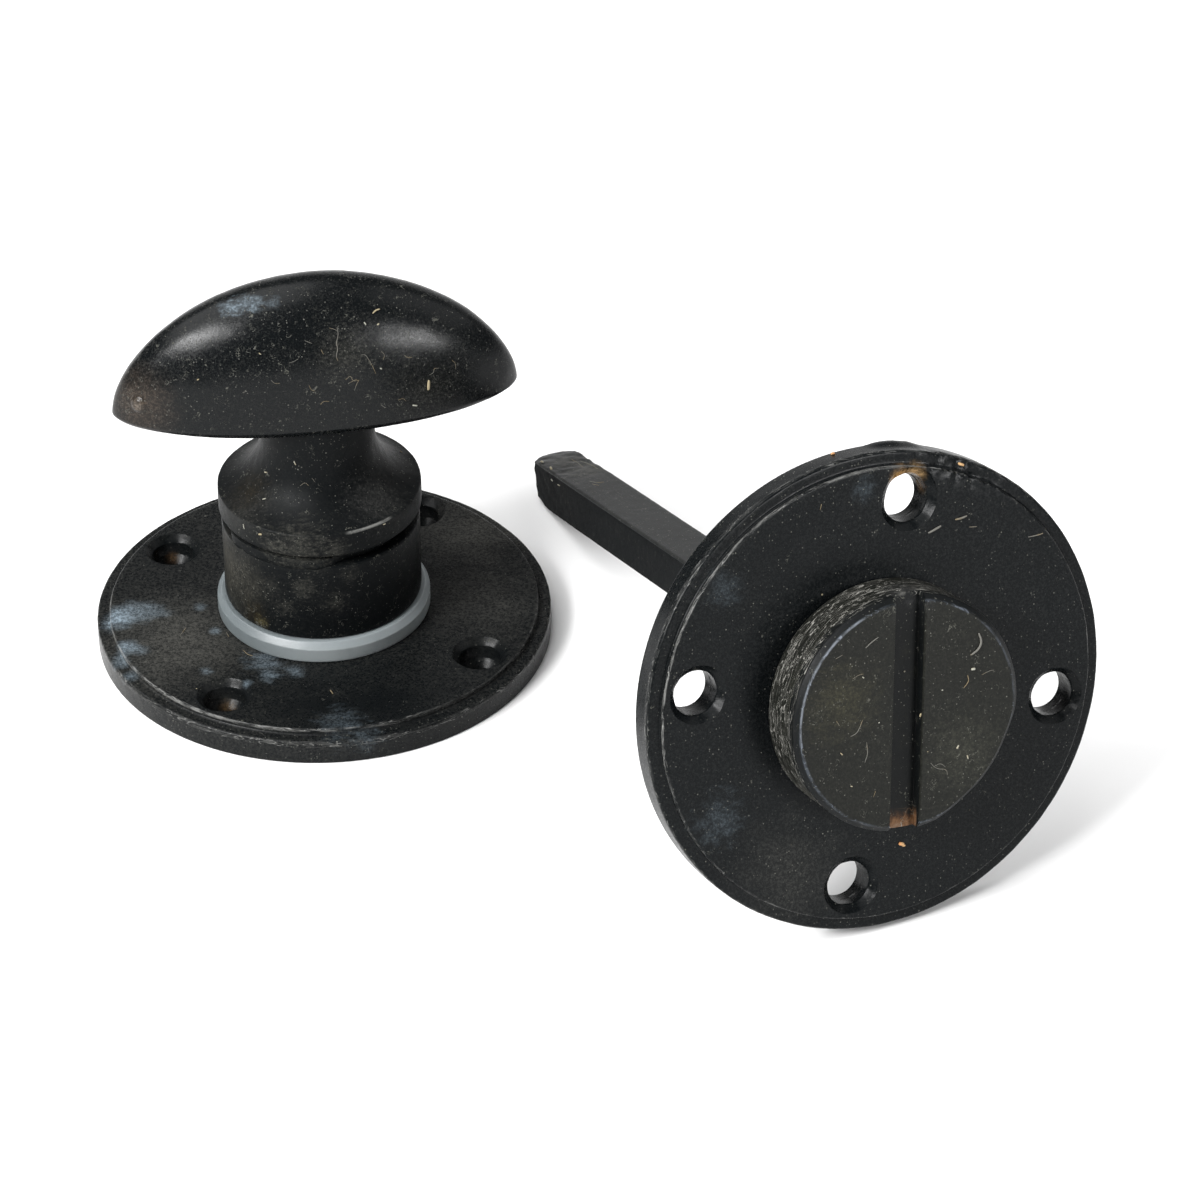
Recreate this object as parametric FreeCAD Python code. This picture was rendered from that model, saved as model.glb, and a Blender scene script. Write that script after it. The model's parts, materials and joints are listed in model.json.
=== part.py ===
"""Thumb turn set for a bathroom door: a turn half standing on its rose, and a coin release
half leaning on its rose's rim and on the far end of its square spindle. Millimetres, +Z up.

Origin: centre of the turn rose's back face, which lies on the surface the set stands on.
+Z runs along the turn's axis, out of the rose. +X and +Y lie along that surface.
"""
import FreeCAD, Part
import math
import os
from FreeCAD import Matrix, Placement, Rotation, Vector

# Roses: two round plates, alike, each with a stepped rim and countersunk screw holes
rose_r = 25.0
rose_thickness = 3.5
rim_step_width = 1.4
rim_step_drop = 0.7
rim_round = 0.35
screw_count = 4
screw_edge_distance = 5.0
screw_hole_r = 2.3
countersink_r = 3.0
countersink_depth = 0.7
turn_screw_angle = -29.5
release_screw_angle = -15.0

# Spigots that turn in the roses, and the bushes, washers and clips that carry and keep them
spigot_r = 6.0
bush_wall = 1.0
bush_lip = 0.9
bush_edge_chamfer = 0.5
turn_flange_thickness = 2.4
release_flange_thickness = 0.8
release_flange_width = 2.6
bush_end_gap = 0.1
back_washer_width = 3.3
back_washer_thickness = 0.6
recess_margin = 0.5
clip_groove_depth = 0.45
clip_thickness = 0.8
clip_width = 1.9
clip_gap_angle = 36.0
clip_ear_r = 1.4
clip_ear_hole_r = 0.6
spigot_lip = 0.6
back_clearance = 0.3

# Turn half: collar, flared neck, oval grip and the stud that joins them
collar_r = 10.8
collar_length = 9.5
collar_edge_chamfer = 0.3
neck_foot_r = 9.7
neck_foot_length = 1.4
neck_rim_r = 11.05
neck_rim_length = 2.8
neck_waist_r = 6.2
flare_length = 6.4
neck_length = 14.1
grip_half_length = 21.8
grip_half_width = 7.2
grip_rise = 14.7
grip_drop = 2.6
grip_tip_power = 0.6
grip_outline_step = 10
grip_seat_depth = 1.5
grip_angle = 9.5
stud_r = 3.0
stud_chamfer = 0.6
stud_into_collar = 5.6
stud_into_grip = 8.0
stud_end_gap = 0.5
socket_roof = 0.85

# Release half: slotted boss, square spindle and its cross pin
boss_r = 12.3
boss_height = 6.2
boss_chamfer = 0.6
slot_width = 3.2
slot_depth = 1.5
slot_angle = -7.5
release_spigot_beyond = 6.5
spindle_side = 5.5
spindle_projection = 81.0
spindle_roof = 3.0
spindle_taper_length = 3.0
spindle_taper_inset = 0.9
pin_r = 1.0
pin_end_inset = 0.3

# Where the release half lies beside the turn half, and the way its face looks
release_back_x = 56.8
release_back_y = -43.4
release_heading = 24.2

# Clearances
running_gap = 0.05
fixed_gap = 0.05
end_float = 0.05
spindle_gap = 0.1

# Rose, spigot and recess, worked out from the values above
screw_circle_r = rose_r - screw_edge_distance
bush_bore_r = spigot_r + running_gap
bush_r = bush_bore_r + bush_wall
rose_bore_r = bush_r + fixed_gap
back_washer_r = spigot_r + back_washer_width
recess_r = back_washer_r + recess_margin
clip_low = back_clearance + spigot_lip
clip_high = clip_low + clip_thickness
clip_seat_r = spigot_r - clip_groove_depth
back_washer_high = clip_high + back_washer_thickness
recess_depth = back_washer_high + end_float

# Turn half, levels above the surface it stands on
turn_flange_r = collar_r + bush_lip
collar_low = rose_thickness + turn_flange_thickness + end_float
collar_high = collar_low + collar_length
neck_high = collar_high + neck_length
grip_middle = neck_high + grip_drop - grip_seat_depth
stud_low = collar_high - stud_into_collar
stud_high = neck_high + stud_into_grip
socket_side = spindle_side + 2 * spindle_gap
socket_high = stud_low - stud_end_gap - socket_roof

# Release half, levels along its own axis from its rose's back face
release_flange_r = bush_r + release_flange_width
release_flange_high = rose_thickness + release_flange_thickness
flange_room_r = release_flange_r + recess_margin
flange_room_high = release_flange_high + end_float
boss_low = rose_thickness + end_float
boss_high = boss_low + boss_height
slot_floor = boss_high - slot_depth
spindle_high = slot_floor - spindle_roof
spindle_foot = spindle_projection - spindle_taper_length
spindle_tip_side = spindle_side - 2 * spindle_taper_inset
lean_on_foot = math.atan2(rose_r - spindle_side / 2, spindle_foot)
lean_on_tip = math.atan2(rose_r - spindle_tip_side / 2, spindle_projection)
release_tilt = math.degrees(min(lean_on_foot, lean_on_tip))

AXIS_POINT = Vector(0, 0, 0)
UP = Vector(0, 0, 1)


def turned(outline):
    """Solid turned about Z from (radius, height) points; three points in a list are an arc."""
    edges = []
    last = None
    for step in outline + outline[:1]:
        if isinstance(step, list):
            start, middle, end = [Vector(r, 0, z) for r, z in step]
            if (start - last).Length > 1e-6:
                edges.append(Part.LineSegment(last, start).toShape())
            edges.append(Part.Arc(start, middle, end).toShape())
            last = end
        else:
            point = Vector(step[0], 0, step[1])
            if last is not None and (point - last).Length > 1e-6:
                edges.append(Part.LineSegment(last, point).toShape())
            last = point
    return Part.Face(Part.Wire(edges)).revolve(AXIS_POINT, UP, 360)


def cylinder(radius, low, high):
    return Part.makeCylinder(radius, high - low, Vector(0, 0, low))


def ring(inner_r, outer_r, low, high):
    return cylinder(outer_r, low, high).cut(cylinder(inner_r, low, high))


def square_bar(side, low, high):
    return Part.makeBox(side, side, high - low, Vector(-side / 2, -side / 2, low))


def spun(shape, angle):
    """The shape turned about the Z axis by an angle in degrees."""
    copy = shape.copy()
    copy.rotate(AXIS_POINT, UP, angle)
    return copy


def rose(screw_angle):
    """Round plate with a stepped rim, a bore for the bush and a recess behind for the clip."""
    step_r = rose_r - rim_step_width
    step_z = rose_thickness - rim_step_drop
    slant = rim_round * (1 - math.sqrt(0.5))
    plate = turned([
        (rose_bore_r, recess_depth),
        (rose_bore_r, rose_thickness),
        (step_r, rose_thickness),
        (step_r, step_z),
        [(rose_r - rim_round, step_z), (rose_r - slant, step_z - slant), (rose_r, step_z - rim_round)],
        (rose_r, 0),
        (recess_r, 0),
        (recess_r, recess_depth),
    ])
    sink_low = rose_thickness - countersink_depth
    hole = cylinder(screw_hole_r, 0, rose_thickness)
    hole = hole.fuse(Part.makeCone(screw_hole_r, countersink_r, countersink_depth, Vector(0, 0, sink_low)))
    hole.translate(Vector(screw_circle_r, 0, 0))
    for index in range(screw_count):
        plate = plate.cut(spun(hole, screw_angle + index * 360 / screw_count))
    return plate


def bush(flange_r, flange_thickness, chamfer):
    """Nylon flanged bush: the sleeve lines the rose's bore and the flange lies on its face."""
    flange_high = rose_thickness + flange_thickness
    return turned([
        (bush_bore_r, recess_depth + bush_end_gap),
        (bush_bore_r, flange_high),
        (flange_r - chamfer, flange_high),
        (flange_r, flange_high - chamfer),
        (flange_r, rose_thickness),
        (bush_r, rose_thickness),
        (bush_r, recess_depth + bush_end_gap),
    ])


def back_washer():
    return ring(bush_bore_r, back_washer_r, clip_high, back_washer_high)


def retaining_clip():
    """Open spring ring in the spigot's groove, with an eared end on each side of its gap."""
    inner_r = clip_seat_r + fixed_gap
    outer_r = inner_r + clip_width
    clip = ring(inner_r, outer_r, clip_low, clip_high)
    reach = 2 * outer_r
    half_gap = math.radians(clip_gap_angle / 2)
    corners = [
        Vector(0, 0, clip_low),
        Vector(reach, -reach * math.tan(half_gap), clip_low),
        Vector(reach, reach * math.tan(half_gap), clip_low),
    ]
    wedge = Part.Face(Part.makePolygon(corners + corners[:1])).extrude(UP * clip_thickness)
    clip = clip.cut(wedge)
    ear_middle_r = inner_r + clip_ear_r
    for side in (-1, 1):
        ear_angle = side * (clip_gap_angle / 2 + math.degrees(clip_ear_r / ear_middle_r))
        ear = cylinder(clip_ear_r, clip_low, clip_high)
        ear.translate(Vector(ear_middle_r + clip_width - clip_ear_r, 0, 0))
        hole = cylinder(clip_ear_hole_r, clip_low, clip_high)
        hole.translate(Vector(ear_middle_r + clip_width - clip_ear_r, 0, 0))
        clip = clip.fuse(spun(ear, ear_angle)).cut(spun(hole, ear_angle))
    return clip.removeSplitter()


def clip_groove():
    return ring(clip_seat_r, 2 * spigot_r, clip_low, clip_high)


def collar():
    """Plain round collar with a spigot below, a square socket from below and a stud hole above."""
    body = turned([
        (0, back_clearance),
        (spigot_r, back_clearance),
        (spigot_r, collar_low),
        (collar_r - collar_edge_chamfer, collar_low),
        (collar_r, collar_low + collar_edge_chamfer),
        (collar_r, collar_high - collar_edge_chamfer),
        (collar_r - collar_edge_chamfer, collar_high),
        (0, collar_high),
    ])
    socket = square_bar(socket_side, back_clearance, socket_high)
    stud_hole = cylinder(stud_r + fixed_gap, stud_low - stud_end_gap, collar_high)
    return spun(body.cut(clip_groove()).cut(socket).cut(stud_hole), grip_angle)


def neck():
    """Short land above a groove, then a hollow flare that rises into a straight waist."""
    foot_high = collar_high + neck_foot_length
    rim_high = foot_high + neck_rim_length
    flare_high = rim_high + flare_length
    spread = neck_rim_r - neck_waist_r
    flare_r = (spread ** 2 + flare_length ** 2) / (2 * spread)
    centre_r = neck_waist_r + flare_r
    half_turn = math.atan2(flare_length, centre_r - neck_rim_r) / 2
    flare_middle = (
        centre_r - flare_r * math.cos(half_turn),
        flare_high - flare_r * math.sin(half_turn),
    )
    bore_r = stud_r + fixed_gap
    return turned([
        (bore_r, collar_high),
        (neck_foot_r, collar_high),
        (neck_foot_r, foot_high),
        (neck_rim_r, foot_high),
        [(neck_rim_r, rim_high), flare_middle, (neck_waist_r, flare_high)],
        (neck_waist_r, neck_high),
        (bore_r, neck_high),
    ])


def grip_half(height, sweep):
    """Half of the oval grip: a turned spindle shape, squeezed to the grip's width and height."""
    stations = [math.sin(math.radians(angle)) for angle in range(-90, 91, grip_outline_step)]
    points = [
        Vector(grip_half_length * s, grip_rise * (1 - s * s) ** grip_tip_power, 0)
        for s in stations
    ]
    curve = Part.BSplineCurve()
    curve.interpolate(points)
    edges = [curve.toShape(), Part.LineSegment(points[-1], points[0]).toShape()]
    half = Part.Face(Part.Wire(edges)).revolve(AXIS_POINT, Vector(1, 0, 0), sweep)
    squeeze = Matrix()
    squeeze.scale(1, grip_half_width / grip_rise, height / grip_rise)
    return half.transformGeometry(squeeze)


def grip():
    """Oval grip, tall above its widest line and shallow below, spot-faced for the neck."""
    body = grip_half(grip_rise, 180).fuse(grip_half(grip_drop, -180))
    body.translate(Vector(0, 0, grip_middle))
    seat = cylinder(neck_waist_r + fixed_gap, neck_high - grip_drop, neck_high)
    stud_hole = cylinder(stud_r + fixed_gap, neck_high, stud_high + stud_end_gap)
    return spun(body.cut(seat).cut(stud_hole), grip_angle)


def stud():
    return turned([
        (0, stud_low),
        (stud_r - stud_chamfer, stud_low),
        (stud_r, stud_low + stud_chamfer),
        (stud_r, stud_high - stud_chamfer),
        (stud_r - stud_chamfer, stud_high),
        (0, stud_high),
    ])


def cross_pin(radius, half_length):
    """Round pin across the release spigot, behind the rose."""
    middle = Vector(-half_length, 0, -release_spigot_beyond / 2)
    return Part.makeCylinder(radius, 2 * half_length, middle, Vector(1, 0, 0))


def boss():
    """Slotted coin boss, hollowed under its rim for the bush's flange and for the spindle's end."""
    body = turned([
        (0, flange_room_high),
        (flange_room_r, flange_room_high),
        (flange_room_r, boss_low),
        (boss_r, boss_low),
        (boss_r, boss_high - boss_chamfer),
        (boss_r - boss_chamfer, boss_high),
        (0, boss_high),
    ])
    slot = Part.makeBox(slot_width, 2 * boss_r, slot_depth, Vector(-slot_width / 2, -boss_r, slot_floor))
    socket = square_bar(socket_side, flange_room_high, spindle_high + spindle_gap)
    return body.cut(spun(slot, slot_angle)).cut(socket)


def release_spigot():
    """The boss's spigot: it turns in the bush and holds the clip, the pin and the spindle."""
    body = cylinder(spigot_r, -release_spigot_beyond, flange_room_high)
    socket = square_bar(socket_side, -release_spigot_beyond, flange_room_high)
    pin_hole = cross_pin(pin_r + fixed_gap, spigot_r)
    return body.cut(clip_groove()).cut(socket).cut(pin_hole)


def spindle():
    """Square bar held in the boss, with its far end tapered on all four sides."""
    taper_start = -spindle_foot
    bar = square_bar(spindle_side, taper_start, spindle_high)
    outlines = []
    for side, level in ((spindle_side, taper_start), (spindle_tip_side, -spindle_projection)):
        half = side / 2
        corners = [Vector(x * half, y * half, level) for x, y in ((-1, -1), (1, -1), (1, 1), (-1, 1))]
        outlines.append(Part.makePolygon(corners + corners[:1]))
    bar = bar.fuse(Part.makeLoft(outlines, True)).removeSplitter()
    return bar.cut(cross_pin(pin_r + fixed_gap, spigot_r))


def laid_down(shape):
    """Release half's shape moved from its own axis to where the half lies beside the turn."""
    heading = math.radians(release_heading)
    tilt = math.radians(release_tilt)
    across = Vector(math.cos(heading), math.sin(heading), 0)
    outward = Vector(
        math.sin(heading) * math.cos(tilt), -math.cos(heading) * math.cos(tilt), math.sin(tilt))
    rotation = Rotation(across, outward.cross(across), outward, "ZXY")
    back_centre = Vector(release_back_x, release_back_y, rose_r * math.cos(tilt))
    copy = shape.copy()
    copy.Placement = Placement(back_centre, rotation)
    return copy


turn_half = {
    "turn_rose": rose(turn_screw_angle),
    "turn_bush": bush(turn_flange_r, turn_flange_thickness, bush_edge_chamfer),
    "turn_back_washer": back_washer(),
    "turn_retaining_clip": retaining_clip(),
    "turn_collar": collar(),
    "turn_neck": neck(),
    "turn_stud": stud(),
    "turn_grip": grip(),
}
release_half = {
    "release_rose": rose(release_screw_angle),
    "release_bush": bush(release_flange_r, release_flange_thickness, 0),
    "release_back_washer": back_washer(),
    "release_retaining_clip": retaining_clip(),
    "release_boss": boss(),
    "release_spigot": release_spigot(),
    "spindle": spindle(),
    "spindle_pin": cross_pin(pin_r, spigot_r - pin_end_inset),
}

nodes = dict(turn_half)
for name, shape in release_half.items():
    nodes[name] = laid_down(shape)

os.makedirs("parts", exist_ok=True)
for name, shape in nodes.items():
    shape.exportStep(os.path.join("parts", name + ".step"))
    box = shape.BoundBox
    print(f"{name:24s} solids {len(shape.Solids)} valid {shape.isValid()} volume {shape.Volume:9.2f} mm3"
          f"  z {box.ZMin:7.2f} to {box.ZMax:7.2f}")
print(f"release half leans back {release_tilt:.2f} degrees")
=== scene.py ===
# %% [markdown]
# This file dresses a thumb turn set for a bathroom door. The turn half stands upright: a collar, a
# flared neck and an oval grip on a rose. The release half leans beside it: a slotted boss on a rose and
# a long square spindle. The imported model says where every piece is.

# %% Load the frame and keep its box
import json
from math import acos, asin, atan2, ceil, cos, degrees, hypot, pi, radians, sin, tan

import bmesh
import bpy
from mathutils import Matrix, Vector, noise


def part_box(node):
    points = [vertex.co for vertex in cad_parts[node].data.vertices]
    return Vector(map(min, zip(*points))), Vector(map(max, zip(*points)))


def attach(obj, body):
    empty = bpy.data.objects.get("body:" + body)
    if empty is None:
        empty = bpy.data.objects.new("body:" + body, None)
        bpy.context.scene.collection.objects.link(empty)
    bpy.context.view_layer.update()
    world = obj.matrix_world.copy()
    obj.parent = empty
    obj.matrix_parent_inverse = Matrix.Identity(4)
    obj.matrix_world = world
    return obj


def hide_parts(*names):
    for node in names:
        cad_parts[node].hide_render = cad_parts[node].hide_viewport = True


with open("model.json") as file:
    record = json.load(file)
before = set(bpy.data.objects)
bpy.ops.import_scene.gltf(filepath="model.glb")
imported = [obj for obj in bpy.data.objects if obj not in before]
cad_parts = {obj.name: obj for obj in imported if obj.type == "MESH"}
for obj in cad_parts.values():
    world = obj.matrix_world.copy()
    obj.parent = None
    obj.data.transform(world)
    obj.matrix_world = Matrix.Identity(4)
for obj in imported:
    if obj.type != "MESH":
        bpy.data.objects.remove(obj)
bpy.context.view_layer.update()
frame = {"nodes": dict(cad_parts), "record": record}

# %% [markdown]
# Both halves are made upright and in millimetres, and a matrix takes each to its place in metres. The
# release half also leans, the way its rose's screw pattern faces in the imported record.

# %% The two places
MM = 0.001
mounts = {mount["name"]: mount for mount in frame["record"]["mounts"]}
release_mount = mounts["release_rose_screws"]
facing = Vector(release_mount["axis"]).normalized()
across = Vector((-facing.y, facing.x, 0)).normalized()
upward = facing.cross(across)
turn_place = Matrix.Scale(MM, 4)
release_turned = Matrix((across, upward, facing)).transposed().to_4x4()
release_place = Matrix.Translation(release_mount["pos_m"]) @ release_turned @ Matrix.Scale(MM, 4)


def measured(name):
    """The radius, bottom and top of a piece of the turn half, in millimetres."""
    low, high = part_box(name)
    return (high.x - low.x) / 2 / MM, low.z / MM, high.z / MM


print("release half leans back by", round(degrees(asin(facing.z)), 2), "degrees")

# %% [markdown]
# The camera comes early, because later cells use it to find marks. It looks down through a long lens.
# Pitch is the angle below level, and there is no roll.

# %% Camera
camera_at = Vector((0.030386, -0.41176, 0.29692))
camera_pitch = radians(35.47)
camera_lens = 137.57
sensor_width = 36
photo_side = 1200

camera_data = bpy.data.cameras.new("camera")
camera_data.lens = camera_lens
camera_data.sensor_width = sensor_width
camera_data.clip_start = 0.01
camera = bpy.data.objects.new("camera", camera_data)
camera.location = camera_at
camera.rotation_euler = (pi / 2 - camera_pitch, 0, 0)
bpy.context.scene.collection.objects.link(camera)
bpy.context.scene.camera = camera
print("camera is", round(camera_at.length, 3), "m from the turn's foot")

# %% [markdown]
# A mark, such as a fibre or a rusty spot, is known by its place in the photograph. It belongs where
# the sight line through that place meets a piece's mesh.

# %% Sight lines
def sight(pixel):
    """The direction from the camera through a place in the photograph, in pixels from its top left."""
    focal = camera_lens / sensor_width * photo_side
    right = (pixel[0] - photo_side / 2) / focal
    down = (pixel[1] - photo_side / 2) / focal
    turned = Matrix.Rotation(pi / 2 - camera_pitch, 3, "X")
    return (turned @ Vector((right, -down, -1))).normalized()


def seen_on(piece, pixel, place=Matrix.Identity(4)):
    """Where the sight line through a pixel meets a piece, in the piece's own units."""
    home = place.inverted()
    start = home @ camera_at
    hit, point, _, _ = piece.ray_cast(start, home.to_3x3() @ sight(pixel))
    if not hit:
        raise ValueError(f"no point of {piece.name} is at {pixel}")
    return point

# %% [markdown]
# Most meshes are an outline in radius and height that goes round an axis. Its corners are slightly
# rounded, since real edges are never razor sharp. Long runs are divided, so that dents and ripples
# have vertices to move.

# %% Outlines
ARC_STEPS = 5


def rounded(corners, run=0.8):
    """Closed outline of (radius, height) points, made from corners of (radius, height, rounding)."""
    points = []
    count = len(corners)
    for index, (r, z, rounding) in enumerate(corners):
        here = Vector((r, z))
        before = Vector(corners[index - 1][:2]) - here
        after = Vector(corners[(index + 1) % count][:2]) - here
        if rounding <= 0:
            points.append(here)
            continue
        half = before.angle(after) / 2
        reach = min(rounding / tan(half), 0.49 * before.length, 0.49 * after.length)
        start = here + before.normalized() * reach
        end = here + after.normalized() * reach
        for step in range(ARC_STEPS + 1):
            t = step / ARC_STEPS
            points.append((1 - t) ** 2 * start + 2 * t * (1 - t) * here + t ** 2 * end)
    divided = []
    for index, point in enumerate(points):
        following = points[(index + 1) % len(points)]
        steps = max(1, ceil((following - point).length / run))
        divided += [point.lerp(following, step / steps) for step in range(steps)]
    return divided


def arc(centre, radius, start, end, steps=16):
    """Points on an arc, as corners with no rounding. Angles are in degrees."""
    corners = []
    for step in range(steps + 1):
        angle = radians(start + (end - start) * step / steps)
        corners.append((centre[0] + radius * cos(angle), centre[1] + radius * sin(angle), 0))
    return corners


print("a corner becomes", ARC_STEPS + 1, "points")

# %% [markdown]
# An outline becomes rings of vertices joined by faces. A mesh is in millimetres until its piece is put
# in place.

# %% Turned meshes
def new_piece(name, bm):
    """An object in the scene with the mesh that is in bm."""
    bmesh.ops.recalc_face_normals(bm, faces=bm.faces)
    mesh = bpy.data.meshes.new(name)
    bm.to_mesh(mesh)
    bm.free()
    piece = bpy.data.objects.new(name, mesh)
    bpy.context.scene.collection.objects.link(piece)
    return piece


def join_rings(bm, rings):
    """Faces between neighbouring rings of vertices. A ring may be one vertex, repeated."""
    for ring, other in zip(rings, rings[1:]):
        for side, vertex in enumerate(ring):
            after = (side + 1) % len(ring)
            corners = [vertex, ring[after], other[after], other[side]]
            kept = [v for place, v in enumerate(corners) if v not in corners[:place]]
            if len(kept) > 2:
                bm.faces.new(kept)


def turned(name, outline, sides):
    """A piece with the closed outline turned round the Z axis."""
    bm = bmesh.new()
    rings = []
    for r, z in outline:
        if r < 1e-6:
            rings.append([bm.verts.new((0, 0, z))] * sides)
        else:
            angles = [2 * pi * side / sides for side in range(sides)]
            rings.append([bm.verts.new((r * cos(a), r * sin(a), z)) for a in angles])
    join_rings(bm, rings + rings[:1])
    return new_piece(name, bm)


def cut(piece, *cutters):
    """Takes the cutters out of the piece and removes them from the scene."""
    for cutter in cutters:
        modifier = piece.modifiers.new("cut", "BOOLEAN")
        modifier.operation = "DIFFERENCE"
        modifier.solver = "EXACT"
        modifier.object = cutter
    shape = piece.evaluated_get(bpy.context.evaluated_depsgraph_get())
    mesh = bpy.data.meshes.new_from_object(shape)
    piece.modifiers.clear()
    piece.data = mesh
    for cutter in cutters:
        bpy.data.objects.remove(cutter)
    return piece


def about_z(angle):
    return Matrix.Rotation(radians(angle), 4, "Z")


def square_piece(name, half, low, high):
    """A square bar along Z, to cut with."""
    bm = bmesh.new()
    bmesh.ops.create_cube(bm, size=2)
    stretched = Matrix.Diagonal((half, half, (high - low) / 2, 1))
    placed = Matrix.Translation((0, 0, (high + low) / 2)) @ stretched
    bmesh.ops.transform(bm, matrix=placed, verts=bm.verts)
    return new_piece(name, bm)


def rod_piece(name, radius, low, high, sides=64):
    """A rod along Z, to cut with."""
    return turned(name, [(0, low), (radius, low), (radius, high), (0, high)], sides)


print("ready to turn meshes")

# %% [markdown]
# Hand-finished steel is never quite true. Each vertex moves a few hundredths of a millimetre along its
# normal, by a smooth noise that is the same on every run and fades out where two pieces meet.

# %% Wear
def move_along_normals(piece, distance):
    """Moves each vertex along its normal by distance(point), in millimetres."""
    mesh = piece.data
    moves = [(vertex, distance(vertex.co) * vertex.normal) for vertex in mesh.vertices]
    for vertex, move in moves:
        vertex.co += move
    mesh.update()


def ripple(point, size, height, offset=0):
    """Smooth noise with bumps of about the given size, between minus and plus the height."""
    return height * noise.fractal(point / size + Vector((offset, 0, 0)), 0.8, 2, 3)


def fade(value, low, high):
    """0 below low, 1 above high, and a smooth rise between."""
    t = min(1, max(0, (value - low) / (high - low)))
    return t * t * (3 - 2 * t)


def near(point, centre, radius):
    """1 at the centre, falling smoothly to 0 at the radius."""
    return 1 - fade((point - Vector(centre)).length, 0, radius)


def finished(piece, place, body, *nodes, slot="blackened_steel", sharp_above=40):
    """Puts a piece in place in metres, smooths it, ties it to its body and hides the CAD nodes that it
    replaces.
    """
    piece.data.transform(place)
    piece.data.set_sharp_from_angle(angle=radians(sharp_above))
    for polygon in piece.data.polygons:
        polygon.use_smooth = True
    weighted = piece.modifiers.new("even shading", "WEIGHTED_NORMAL")
    weighted.keep_sharp = True
    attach(piece, body)
    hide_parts(*nodes)
    print(piece.name, len(piece.data.polygons), "faces")
    return piece

# %% [markdown]
# A rose is the round plate over the hole in the door. Its rim has a small step, and a recess
# behind leaves room for the clip. The screw holes' cutter is uneven, since rust has eaten their edges.

# %% Rose sizes
rose_r, _, rose_thickness = measured("turn_rose")
step_r = rose_r - 1.4
step_z = rose_thickness - 0.7
rose_bore_r = 7.1
recess_r = 9.8
recess_depth = 2.35
screw_circle_r = release_mount["dims"]["pcd_mm"] / 2
screw_hole_r = release_mount["dims"]["hole_r_mm"]
turn_screw_angle = -29.5
release_screw_angle = -15
print("a rose is", round(2 * rose_r, 2), "by", round(rose_thickness, 2), "mm")

# %% Roses
def screw_cutter(angle, offset, lip, eaten=0):
    """A screw hole's shape, less a lip of old wax at the back, and eaten by rust towards the rim."""
    sink = rose_thickness - 0.75
    corners = [
        (0, -1, 0), (screw_hole_r - lip, -1, 0), (screw_hole_r - lip, 0.35, 0.1), (screw_hole_r, 1.3, 0.3),
        (screw_hole_r, sink, 0.3), (screw_hole_r + 0.75, rose_thickness, 0.25),
        (screw_hole_r + 0.95, rose_thickness + 0.5, 0), (0, rose_thickness + 0.5, 0),
    ]
    cutter = turned("screw cutter", rounded(corners, 0.4), 72)

    def distance(point):
        outward = max(0, point.x) / max(0.1, hypot(point.x, point.y))
        rusted = eaten * outward ** 2 * fade(point.z, 0.8, rose_thickness)
        return ripple(point, 1.3, 0.06 + 0.1 * rusted, offset) * fade(point.z, 0.5, 1.5) + rusted

    move_along_normals(cutter, distance)
    cutter.data.transform(about_z(angle) @ Matrix.Translation((screw_circle_r, 0, 0)))
    return cutter


def rose(name, screw_angle, offset, dents, lip, eaten):
    """A rose with its own dents: dents(point) is how far a point of the front sinks or rises."""
    corners = [
        (rose_bore_r, recess_depth, 0.1), (rose_bore_r, rose_thickness, 0.15),
        (step_r, rose_thickness, 0.2), (step_r, step_z, 0.3),
        (rose_r, step_z, 0.35), (rose_r, 0, 0.2),
        (recess_r, 0, 0.2), (recess_r, recess_depth, 0.2),
    ]
    piece = turned(name, rounded(corners, 0.4), 420)

    def distance(point):
        radius = hypot(point.x, point.y)
        free = fade(radius, 12, 13) * fade(point.z, 0.2, 0.8)
        edge = fade(radius, step_r - 0.6, step_r)
        wave = ripple(point, 7, 0.035, offset) + ripple(point, 1.1, 0.008 + 0.012 * edge, offset)
        return free * wave + dents(point)

    move_along_normals(piece, distance)
    cutters = [
        screw_cutter(screw_angle + 90 * index, offset + index, lip, eaten[index]) for index in range(4)]
    return cut(piece, *cutters)


def turn_dents(point):
    scratch = near(point, (-1.6, -21, rose_thickness), 2.2) * ripple(point, 0.8, 0.05, 31)
    return scratch * fade(point.z, 3.2, 3.4)


chipped_at = release_place.inverted() @ seen_on(frame["nodes"]["release_rose"], (957, 470))
chipped_angle = degrees(atan2(chipped_at.y, chipped_at.x))
burr_angle = chipped_angle + 15


def release_dents(point):
    """Ragged, chipped step at the top right, and a burr on the back edge at the top."""
    angle = degrees(atan2(point.y, point.x))
    radius = hypot(point.x, point.y)
    chipped = (1 - fade(abs(angle - chipped_angle), 6, 16)) * fade(radius, step_r - 1.5, step_r - 0.2)
    chips = -chipped * abs(ripple(point, 0.9, 0.34, 11)) * fade(point.z, 1.5, 2.6)
    back_edge = fade(radius, rose_r - 0.3, rose_r) * (1 - fade(point.z, 0.6, 1.6))
    burr = (1 - fade(abs(angle - burr_angle), 3, 8)) * back_edge
    return chips + burr * (0.28 + ripple(point, 1.5, 0.1, 12))


turn_rose = finished(rose("rose_turn", turn_screw_angle, 0, turn_dents, 0.75, (0, 0, 0, 0)),
                     turn_place, "roses", "turn_rose")
release_rose = finished(rose("rose_release", release_screw_angle, 20, release_dents, 0, (0, 0.5, 0, 0)),
                        release_place, "roses", "release_rose")
print("step chipped at", round(chipped_angle, 1), "degrees")

# %% [markdown]
# The pale ring under the collar is the flange of a nylon bush. Its top edge is bevelled, its rim waves
# a little, and its sleeve lines the rose's bore.

# %% Nylon bush
spigot_r = 6
bush_bore_r = spigot_r + 0.05
bush_r = bush_bore_r + 1
flange_r, sleeve_low, flange_top = measured("turn_bush")

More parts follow.
